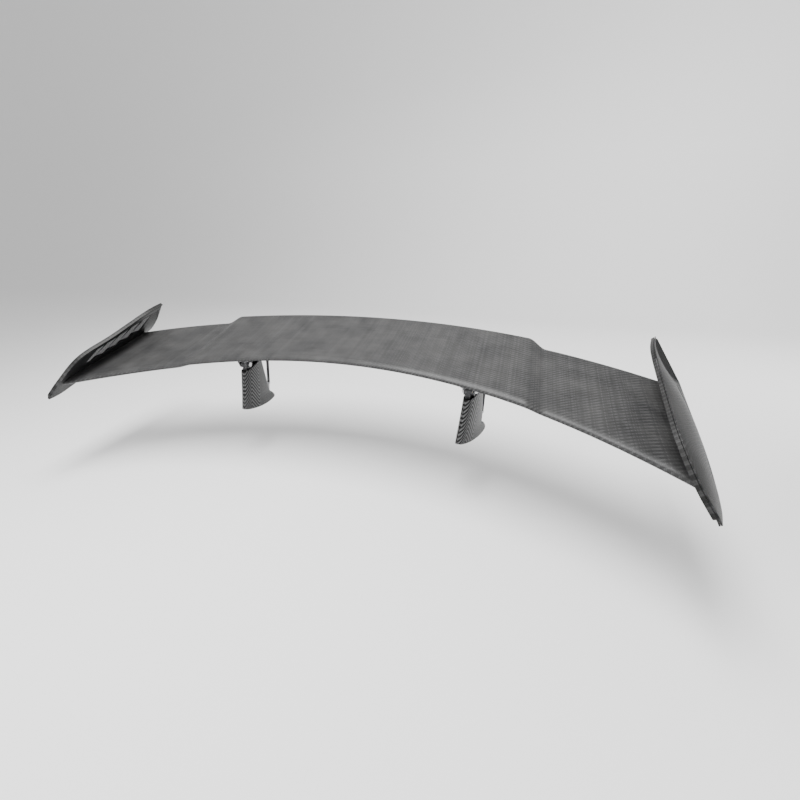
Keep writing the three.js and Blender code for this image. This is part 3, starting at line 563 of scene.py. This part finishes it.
# the blade's rule: two edges bowed over the span, a cambered section between them
def buildBladeTree():
    tree, given, result, size = newGeometryTree("bladeTree", bladeSizes, bladeCells)
    grid = addNode(tree, "GeometryNodeMeshGrid", Size_X=2.0, Size_Y=1.0,
                   Vertices_X=given.outputs["Span Points"], Vertices_Y=given.outputs["Loop Points"])
    u, v, _ = parted(tree, tree.nodes.new("GeometryNodeInputPosition").outputs[0])
    v = v + 0.5
    lip = (size["Loop Points"] - 1.0) ** -1.0
    turn = ((v - lip) / (lip * -2.0 + 1.0)).clamped()
    blunt = (v / lip).clamped() * ((v * -1.0 + 1.0) / lip).clamped()
    share = (turn * (2 * math.pi)).step("COSINE") * 0.5 + 0.5
    side = (turn - 0.5).step("SIGN")
    nose, tail = size["Nose"], size["Tail"] * 0.5

    # thickness needs the chord, and the chord needs x, so the tip is taken at a chord of its own
    def halfAt(chord):
        half = size["Thickness"] * chord * 0.5
        ahead = (share / nose).step("MINIMUM", 1.0) * -1.0 + 1.0
        rounded = half * (ahead * ahead * -1.0 + 1.0).step("MAXIMUM", 0.0).step("SQRT")
        behind = ((share - nose) / (nose * -1.0 + 1.0)).step("MAXIMUM", 0.0) ** 1.7
        return rounded - (half - tail) * behind
    lean = (size["Tip Lean 1"] * share + size["Tip Lean"]) * halfAt(size["Tip Chord"]) * side * blunt
    tip = size["Tip"] + share * (size["Tip 1"] + share * (size["Tip 2"] + share * size["Tip 3"])) + lean
    x = u * tip
    away = x.step("ABSOLUTE")
    bow = (away / size["Span Scale"]) * (away / size["Span Scale"])
    ramp = ((away - size["Shoulder"]) / size["Shoulder Width"] + 0.5).clamped()
    ramp = ramp * ramp * (ramp * -2.0 + 3.0)

    def edge(name):
        y = size[name + " Y"] - size[name + " Bow"] * bow - size[name + " Bow 4"] * bow * bow
        z = size[name + " Z"] - size[name + " Arch"] * bow - size[name + " Arch 4"] * bow * bow
        return y + size[name + " Step Y"] * ramp, z + size[name + " Step Z"] * ramp
    frontY, frontZ = edge("Front")
    rearY, rearZ = edge("Rear")
    runY, runZ = rearY - frontY, rearZ - frontZ
    chord = (runY * runY + runZ * runZ).step("SQRT")
    ey, ez = runY / chord, runZ / chord
    rise = size["Sag"] * chord * share * (share * -1.0 + 1.0) * -4.0 + halfAt(chord) * side * blunt
    y = frontY + share * chord * ey - rise * ez
    z = frontZ + share * chord * ez + rise * ey
    # the cloth is caught before the points move, because their places change with them
    caught = addNode(tree, "GeometryNodeCaptureAttribute", {"domain": "POINT"}, Geometry=grid.outputs["Mesh"])
    caught.capture_items.new("VECTOR", "Cloth")
    feed(tree, caught.inputs["Cloth"], combined(tree, x, share * chord * side, 0.0))
    moved = addNode(tree, "GeometryNodeSetPosition", Geometry=caught.outputs["Geometry"],
                    Position=combined(tree, x, y, z))
    cloth = addNode(tree, "GeometryNodeStoreNamedAttribute", {"data_type": "FLOAT2", "domain": "CORNER"},
                    Geometry=moved.outputs[0], Name="clothMap", Value=caught.outputs["Cloth"])
    welded = addNode(tree, "GeometryNodeMergeByDistance", Geometry=cloth.outputs[0], Distance=weldDistance)
    return endTree(tree, given, result, welded.outputs[0])


def makeBlade():
    mesh = evaluateTree(buildBladeTree(), {**bladeSizes, **bladeCells, "Finish": materials["bladeCarbon"]})
    faceOutward(mesh, closeRims=True)
    shadeMesh(mesh, 40.0)
    addPiece("blade", mesh, "bladeCarbon", "wing", "blade_upper_skin", "blade_lower_skin")
    print("blade", len(mesh.polygons), "faces")


# end plates
plateSizes = {
    "upperRail": [(850, -371, 117), (815, -343, 167), (786, -288, 226), (787, -168, 268),
                  (792, -17, 322), (810, 57, 335)],
    "lowerRail": [(850, -371, 112), (866, -325, 114), (873, -265, 132), (876, -125, 182), (879, 21, 230)],
    "front": -366, "rear": 54.5, "dish": 18, "wall": 2.6, "bulge": 14, "seam": 0.8,
    "rimHeight": 5, "rimShare": 0.11, "edge": 0.7, "clothHeight": 140,
    "windowFront": -262, "windowEnd": -50, "windowTop": 0.16, "windowFoot": 0.46,
    "ventFront": -290, "ventRear": -20, "ventTop": 0.7, "ventFoot": 0.88, "ventEnd": 0.12,
}
vaneSizes = {"count": 5, "lean": 42, "run": 24, "margin": 0.015, "gap": 3.65, "setback": 2.2, "edge": 0.4}


# a smooth rail through the plate's corner points, as a dense table
def railTable(points, perSpan=200):
    p = np.array(points, float)
    ends = np.vstack([2 * p[0] - p[1], p, 2 * p[-1] - p[-2]])
    rows = []
    for a, b, c, d in zip(ends, ends[1:], ends[2:], ends[3:]):
        before, here, after = (np.linalg.norm(q - r) ** 0.5 for q, r in ((b, a), (c, b), (d, c)))
        leave = ((b - a) / before - (c - a) / (before + here) + (c - b) / here) * here
        arrive = ((c - b) / here - (d - b) / (here + after) + (d - c) / after) * here
        t = np.linspace(0, 1, perSpan)[:, None]
        rows.append(b + leave * t + (-3 * b + 3 * c - 2 * leave - arrive) * t ** 2
                    + (2 * b - 2 * c + leave + arrive) * t ** 3)
    return np.vstack(rows)


upperTable, lowerTable = railTable(plateSizes["upperRail"]), railTable(plateSizes["lowerRail"])


def platePoint(y, w, out):
    upperX, upperZ = (np.interp(y, upperTable[:, 1], upperTable[:, k]) for k in (0, 2))
    if y > plateSizes["lowerRail"][-1][1]:
        (x0, y0, z0), (x1, y1, z1) = plateSizes["lowerRail"][-1], plateSizes["upperRail"][-1]
        t = (y - y0) / (y1 - y0)
        lowerX, lowerZ = x0 + (x1 - x0) * t, z0 + (z1 - z0) * t
    else:
        lowerX, lowerZ = (np.interp(y, lowerTable[:, 1], lowerTable[:, k]) for k in (0, 2))
    dx, dz = lowerX - upperX, lowerZ - upperZ
    width = math.hypot(dx, dz)
    length = min(1, max(0, (y - plateSizes["front"]) / (plateSizes["rear"] - plateSizes["front"])))
    out -= plateSizes["dish"] * length ** 2 * 4 * w * (1 - w) * min(1, width / 100)
    x, z = upperX + dx * w - dz / width * out, upperZ + dz * w + dx / width * out
    return (x / 1000, y / 1000, z / 1000)


def bulgeAt(y, w):
    length = min(1, max(0, (y - plateSizes["front"]) / (plateSizes["rear"] - plateSizes["front"])))
    full = abs(math.sin(math.pi * length)) ** 0.8 * abs(math.sin(math.pi * w)) ** 0.8
    return plateSizes["seam"] + plateSizes["bulge"] * full


def spread(start, end, count):
    return [start + (end - start) * i / count for i in range(count + 1)]


def joined(*runs):
    return [value for k, run in enumerate(runs) for value in (run if k == 0 else run[1:])]


# the window's ends lean with the vanes, and so do the stations near them
def leaned(y, w):
    p = plateSizes
    height = min(1, max(0, (w - p["windowTop"]) / (p["windowFoot"] - p["windowTop"])))
    ahead = (y - p["front"]) / (p["windowFront"] - p["front"])
    behind = (p["rear"] - y) / (p["rear"] - p["windowEnd"])
    return y + vaneSizes["lean"] * (1 - height) * min(1, ahead, behind)


# the outlet in the outer panel is a lens: its two edges meet towards its ends
def lensed(y, w):
    p = plateSizes
    t = min(1, max(0, (y - p["ventFront"]) / (p["ventRear"] - p["ventFront"])))
    half = (p["ventFoot"] - p["ventTop"]) / 2 * max(p["ventEnd"], math.sin(math.pi * t) ** 0.6)
    middle = (p["ventFoot"] + p["ventTop"]) / 2
    return float(np.interp(w, [0, p["ventTop"], p["ventFoot"], 1], [0, middle - half, middle + half, 1]))


def plateCloth(y, w):
    return (platePoint(y, w, 0)[1], w * plateSizes["clothHeight"] / 1000)


def makeInnerPanel():
    p = plateSizes
    ys = joined(spread(p["front"], p["windowFront"], 22), spread(p["windowFront"], p["windowEnd"], 44),
                spread(p["windowEnd"], p["rear"], 22))
    ws = joined(spread(0, p["rimShare"], 8), spread(p["rimShare"], p["windowTop"], 2),
                spread(p["windowTop"], p["windowFoot"], 6), spread(p["windowFoot"], 1, 10))
    rim = lambda w: p["rimHeight"] * math.sqrt(max(0, 1 - (w / p["rimShare"]) ** 2))
    point = lambda y, w, side: platePoint(leaned(y, w), w, 0 if side else -p["wall"] - rim(w))
    keep = lambda y, w: not (p["windowFront"] < y < p["windowEnd"] and p["windowTop"] < w < p["windowFoot"])
    return wallMesh("plateInner", ys, ws, point, keep, lambda y, w: plateCloth(leaned(y, w), w))


def makeOuterPanel():
    p = plateSizes
    ys = joined(spread(p["front"], p["ventFront"], 18), spread(p["ventFront"], p["ventRear"], 56),
                spread(p["ventRear"], p["rear"], 18))
    ws = joined(spread(0, p["ventTop"], 12), spread(p["ventTop"], p["ventFoot"], 2),
                spread(p["ventFoot"], 1, 6))

    def point(y, w, side):
        bent = lensed(y, w)
        return platePoint(y, bent, bulgeAt(y, bent) + (p["wall"] if side else 0))
    keep = lambda y, w: not (p["ventFront"] < y < p["ventRear"] and p["ventTop"] < w < p["ventFoot"])
    return wallMesh("plateOuter", ys, ws, point, keep, lambda y, w: plateCloth(y, lensed(y, w)))


def makeEndPlates():
    for label, make in (("Inner", makeInnerPanel), ("Outer", makeOuterPanel)):
        right = make()
        left = mirrorMesh(right, "plate" + label + "Left")
        for side, mesh in (("right", right), ("left", left)):
            piece = addPiece("plate" + label + side.capitalize(), mesh, "plateCarbon", "wing",
                             f"endplate_{label.lower()}_{side}")
            roundEdges(piece, plateSizes["edge"] / 1000)
    print("end plates", len(right.polygons), "faces a panel")


# vanes
# one vane bent in its own frame: X up its height, Y forward over its run, Z out of the plate
# it is placed by the solid vane's full run of 24 mm but is itself only 14 mm, so that dark gaps
# show between the vanes; makeVanes works out Lean from the window
vaneTreeSizes = {"Height": 0.07, "Run": 0.014, "Flare": 0.014, "Lean": 0.0, "Sink": 0.0055, "Wall": 0.0018}


def buildVaneTree():
    tree, given, result, size = newGeometryTree("vaneTree", vaneTreeSizes, {})
    grid = addNode(tree, "GeometryNodeMeshGrid", Size_X=1.0, Size_Y=1.0, Vertices_X=25, Vertices_Y=11)
    a, b, _ = parted(tree, tree.nodes.new("GeometryNodeInputPosition").outputs[0])
    foot, run = a * -1.0 + 0.5, b + 0.5
    reach = size["Run"] + size["Flare"] * foot * foot * foot
    ahead = reach * run * size["Lean"].step("COSINE")
    x = a * size["Height"] - reach * run * size["Lean"].step("SINE")
    caught = addNode(tree, "GeometryNodeCaptureAttribute", {"domain": "POINT"}, Geometry=grid.outputs["Mesh"])
    caught.capture_items.new("VECTOR", "Cloth")
    feed(tree, caught.inputs["Cloth"], combined(tree, x, ahead, 0.0))
    bent = addNode(tree, "GeometryNodeSetPosition", Geometry=caught.outputs["Geometry"],
                   Position=combined(tree, x, ahead, size["Sink"] * (run ** 1.15)))
    cloth = addNode(tree, "GeometryNodeStoreNamedAttribute", {"data_type": "FLOAT2", "domain": "CORNER"},
                    Geometry=bent.outputs[0], Name="clothMap", Value=caught.outputs["Cloth"])
    thick = addNode(tree, "GeometryNodeExtrudeMesh", {"mode": "FACES"}, Mesh=cloth.outputs[0],
                    Offset_Scale=given.outputs["Wall"], Individual=False)
    under = addNode(tree, "GeometryNodeFlipFaces", Mesh=cloth.outputs[0])
    both = tree.nodes.new("GeometryNodeJoinGeometry")
    tree.links.new(under.outputs[0], both.inputs[0])
    tree.links.new(thick.outputs["Mesh"], both.inputs[0])
    welded = addNode(tree, "GeometryNodeMergeByDistance", Geometry=both.outputs[0], Distance=weldDistance)
    turn = addNode(tree, "GeometryNodeInputNamedAttribute", {"data_type": "FLOAT_VECTOR"}, Name="turn")
    stretch = addNode(tree, "GeometryNodeInputNamedAttribute", {"data_type": "FLOAT_VECTOR"}, Name="stretch")
    placed = addNode(tree, "GeometryNodeInstanceOnPoints", Points=given.outputs["Geometry"],
                     Instance=welded.outputs[0])
    feed(tree, placed.inputs["Rotation"], turn.outputs["Attribute"])
    feed(tree, placed.inputs["Scale"], stretch.outputs["Attribute"])
    return endTree(tree, given, result, placed.outputs[0])


# points that carry a place, a turn and a stretch for each repeated piece
def carrierMesh(places):
    mesh = bpy.data.meshes.new("carrier")
    mesh.from_pydata([tuple(spot) for spot, _, _ in places], [], [])
    for label, values in (("turn", [tuple(m.to_euler()) for _, m, _ in places]),
                          ("stretch", [tuple(s) for _, _, s in places])):
        layer = mesh.attributes.new(label, "FLOAT_VECTOR", "POINT")
        for item, value in zip(layer.data, values):
            item.vector = value
    return mesh


def axesMatrix(alongX, nearY):
    x = Vector(alongX).normalized()
    z = x.cross(Vector(nearY)).normalized()
    return Matrix((x, z.cross(x), z)).transposed()


def makeVanes():
    p, v = plateSizes, vaneSizes
    pitch = (p["windowEnd"] - p["windowFront"] - v["run"] - v["gap"]) / (v["count"] - 1)
    places, leans = [], []
    for index in range(v["count"]):
        rear = p["windowFront"] + v["run"] + index * pitch
        at = lambda h, run: Vector(platePoint(
            rear + v["lean"] * (1 - h) - v["run"] * run,
            p["windowTop"] + v["margin"] + (p["windowFoot"] - p["windowTop"] - 2 * v["margin"]) * h,
            -v["setback"]))
        top, foot, middle = at(0, 0), at(1, 0), at(0.5, 0)
        ahead = at(0.5, 1) - middle
        turn = axesMatrix(top - foot, ahead)
        places.append(((top + foot) / 2, turn, ((foot - top).length / vaneTreeSizes["Height"], 1, 1)))
        leans.append((top - foot).angle(-ahead))
    lean = math.pi / 2 - sum(leans) / len(leans)
    sizes = {**vaneTreeSizes, "Lean": lean, "Finish": materials["vaneCarbonPaintedLight"]}
    right = evaluateTree(buildVaneTree(), sizes, carrierMesh(places))
    faceOutward(right)
    shadeMesh(right, 40.0)
    left = mirrorMesh(right, "vanesLeft")
    for side, mesh in (("right", right), ("left", left)):
        piece = addPiece("vanes" + side.capitalize(), mesh, "vaneCarbonPaintedLight", "wing",
                         *[f"louvre_{i + 1}_{side}" for i in range(v["count"])])
        roundEdges(piece, vaneSizes["edge"] / 1000)
    print("vanes", len(right.polygons), "faces a side")


# strut fairings
fairingSizes = {
    "x": 388, "toe": 13.4, "thickness": 34, "wall": 2.5, "frontFoot": -109, "frontHead": -69, "rearFoot": 86,
    "rearHead": 55, "taper": 0.35, "head": 152, "headSlope": 0.09, "flare": 27, "flareHeight": 34,
    "gasket": 2.3, "slope": -0.206, "curve": 0.0008, "around": 88, "levels": 40,
    "slotX": 407.5, "slotHalf": 6.6, "slotFront": 61, "slotRear": 95, "slotFoot": -60, "slotTop": 36,
    "noseCloth": 0.03, "sideCloth": 0.085, "edge": 0.6,
}


def fairingRing(level, inset):
    f = fairingSizes
    t = min(1, level * f["head"] / f["flareHeight"])
    flare = 1 - t * t * (3 - 2 * t)
    front = f["frontFoot"] + (f["frontHead"] - f["frontFoot"]) * level + inset
    rear = f["rearFoot"] + (f["rearHead"] - f["rearFoot"]) * level + f["flare"] * flare - inset
    toe = math.radians(f["toe"])
    ring = []
    for i in range(f["around"]):
        angle = 2 * math.pi * i / f["around"]
        s = (1 - math.cos(angle)) / 2
        sine = math.sin(angle)
        wide = (f["thickness"] / 2 - inset) * abs(sine) ** 0.55 * (1 - f["taper"] * (1 - flare) * s * s)
        across, along = math.copysign(wide, sine) if abs(sine) > 1e-9 else 0, front + (rear - front) * s
        x = f["x"] + along * math.tan(toe) + across * math.cos(toe)
        y = along - across * math.sin(toe)
        foot = f["slope"] * y + f["curve"] * y * y + f["gasket"]
        head = f["head"] + f["headSlope"] * (y - f["frontHead"])
        ring.append((x / 1000, y / 1000, (foot + (head - foot) * level) / 1000))
    return ring


def makeFairings():
    f = fairingSizes
    levels = [(i / f["levels"]) ** 1.25 for i in range(f["levels"] + 1)]
    shells = [[fairingRing(level, inset) for level in levels] for inset in (0, f["wall"])]
    points = [p for shell in shells for ring in shell for p in ring]
    count, rows = f["around"], len(levels)
    faces, cloth = [], []
    for shell in shells:
        for ring in shell:
            lengths = np.cumsum([0] + [math.dist(a, b) for a, b in zip(ring, ring[1:])])
            total = lengths[-1]
            for i in range(count):
                away = min(lengths[i], total - lengths[i])  # from the nose, both ways
                if away > f["sideCloth"]:
                    away -= 2 * (f["sideCloth"] - f["noseCloth"])
                elif away > f["noseCloth"]:
                    away = 2 * f["noseCloth"] - away
                cloth.append((away, ring[i][2]))
    base = rows * count
    for r in range(rows - 1):
        for i in range(count):
            a, b = r * count + i, r * count + (i + 1) % count
            faces.append([a, b, b + count, a + count])
            faces.append([base + a, base + a + count, base + b + count, base + b])
    for r in (0, rows - 1):
        for i in range(count):
            a, b = r * count + i, r * count + (i + 1) % count
            faces.append([a, base + a, base + b, b])
    whole = meshFrom("fairing", points, faces, cloth, 50.0)
    right = cutMesh(whole, boxMesh((f["slotX"] - f["slotHalf"], f["slotFront"], f["slotFoot"]),
                                   (f["slotX"] + f["slotHalf"], f["slotRear"], f["slotTop"])))
    shadeMesh(right, 50.0)
    left = mirrorMesh(right, "fairingLeft")
    for side, mesh in (("right", right), ("left", left)):
        piece = addPiece("fairing" + side.capitalize(), mesh, "strutCarbon", "struts",
                         f"strut_fairing_{side}")
        roundEdges(piece, fairingSizes["edge"] / 1000)
    print("fairings", len(right.polygons), "faces each")


# bracket screws
screwSizes = {"Head Radius": 0.0034, "Head Height": 0.0026, "Socket Radius": 0.0017, "Socket Depth": 0.0014}
screwSpots = {"clevis": [(-17, -20), (17, -20), (-17, 20), (17, 20)], "ram_bracket": [(0, -18), (0, 18)]}


def buildScrewTree():
    tree, given, result, size = newGeometryTree("screwTree", screwSizes, {})
    head = addNode(tree, "GeometryNodeMeshCylinder", Vertices=20, Radius=size["Head Radius"],
                   Depth=size["Head Height"])
    key = addNode(tree, "GeometryNodeMeshCylinder", Vertices=6, Radius=size["Socket Radius"],
                  Depth=size["Socket Depth"] * 2.0)
    lifted = addNode(tree, "GeometryNodeTransform", Geometry=key.outputs["Mesh"],
                     Translation=combined(tree, 0.0, 0.0, size["Head Height"] * 0.5))
    hollow = addNode(tree, "GeometryNodeMeshBoolean", {"operation": "DIFFERENCE", "solver": "EXACT"})
    tree.links.new(head.outputs["Mesh"], hollow.inputs["Mesh 1"])
    tree.links.new(lifted.outputs[0], hollow.inputs["Mesh 2"])
    turn = addNode(tree, "GeometryNodeInputNamedAttribute", {"data_type": "FLOAT_VECTOR"}, Name="turn")
    placed = addNode(tree, "GeometryNodeInstanceOnPoints", Points=given.outputs["Geometry"],
                     Instance=hollow.outputs["Mesh"], Rotation=turn.outputs["Attribute"])
    return endTree(tree, given, result, placed.outputs[0])


# a screw head wherever a line up from below meets a bracket's base
def makeBracketScrews():
    places = []
    for node, offsets in screwSpots.items():
        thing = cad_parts[node + "_right"]
        low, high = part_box(node + "_right")
        middle = (low + high) / 2
        for dx, dy in offsets:
            start = Vector((middle.x + dx / 1000, middle.y + dy / 1000, low.z - 0.01))
            hit, spot, normal, _ = thing.ray_cast(start, Vector((0, 0, 1)))
            if hit and normal.z < -0.5:
                turn = normal.to_track_quat("Z", "Y").to_matrix()
                places.append((spot + normal * (screwSizes["Head Height"] / 2), turn, (1, 1, 1)))
    sizes = {**screwSizes, "Finish": materials["turnedSteel"]}
    right = evaluateTree(buildScrewTree(), sizes, carrierMesh(places))
    shadeMesh(right, 30.0)
    left = mirrorMesh(right, "bracketScrewsLeft")
    for side, mesh in (("right", right), ("left", left)):
        addPiece("bracketScrews" + side.capitalize(), mesh, "turnedSteel", "wing")
    print("bracket screws", len(places), "a side")


# carried-over nodes
nodeFinishes = {
    "front_spar": "insideCarbon", "rear_spar": "insideCarbon", "end_rib": "insideCarbon",
    "clevis": "anodisedAlloy", "ram_bracket": "milledAlloy", "ram_gland": "milledAlloy",
    "strut_post": "anodisedAlloy", "ram_cylinder": "anodisedAlloy",
    "pivot_pin": "turnedSteel", "pivot_nut": "turnedSteel", "foot_insert": "turnedSteel",
    "ram_rod": "turnedSteel", "ram_foot_pin": "turnedSteel", "ram_top_pin": "turnedSteel",
    "pivot_bush": "bearingBronze", "foot_gasket": "sealRubber",
}


def dressNodes():
    for name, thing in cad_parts.items():
        finish = next((value for key, value in nodeFinishes.items() if name.startswith(key)), None)
        if finish:
            for slotItem in thing.material_slots:
                slotItem.material = materials[finish]


def makeFloor():
    floor, front, back, side = room["floorHeight"], room["front"], room["back"], room["side"]
    radius = room["sweepRadius"]
    profile = [(y, floor) for y in (front, front / 2, 0.0, back)]
    profile += [(back + radius * math.sin(a), floor + radius - radius * math.cos(a))
                for a in spread(0.1, math.pi / 2, 14)]
    profile += [(back + radius, floor + room["wallHeight"])]
    points = [(x, y, z) for y, z in profile for x in (-side * 2, side * 2)]
    faces = [[2 * i, 2 * i + 1, 2 * i + 3, 2 * i + 2] for i in range(len(profile) - 1)]
    mesh = bpy.data.meshes.new("studioSweep")
    mesh.from_pydata(points, [], faces)
    mesh.materials.append(materials["paleFloor"])
    for face in mesh.polygons:
        face.use_smooth = True
    collect(bpy.data.objects.new("studioSweep", mesh))


placeCamera()
placeLamps()
makeFloor()
makeBlade()
makeEndPlates()
makeVanes()
makeFairings()
makeBracketScrews()
dressNodes()
print("pieces made")
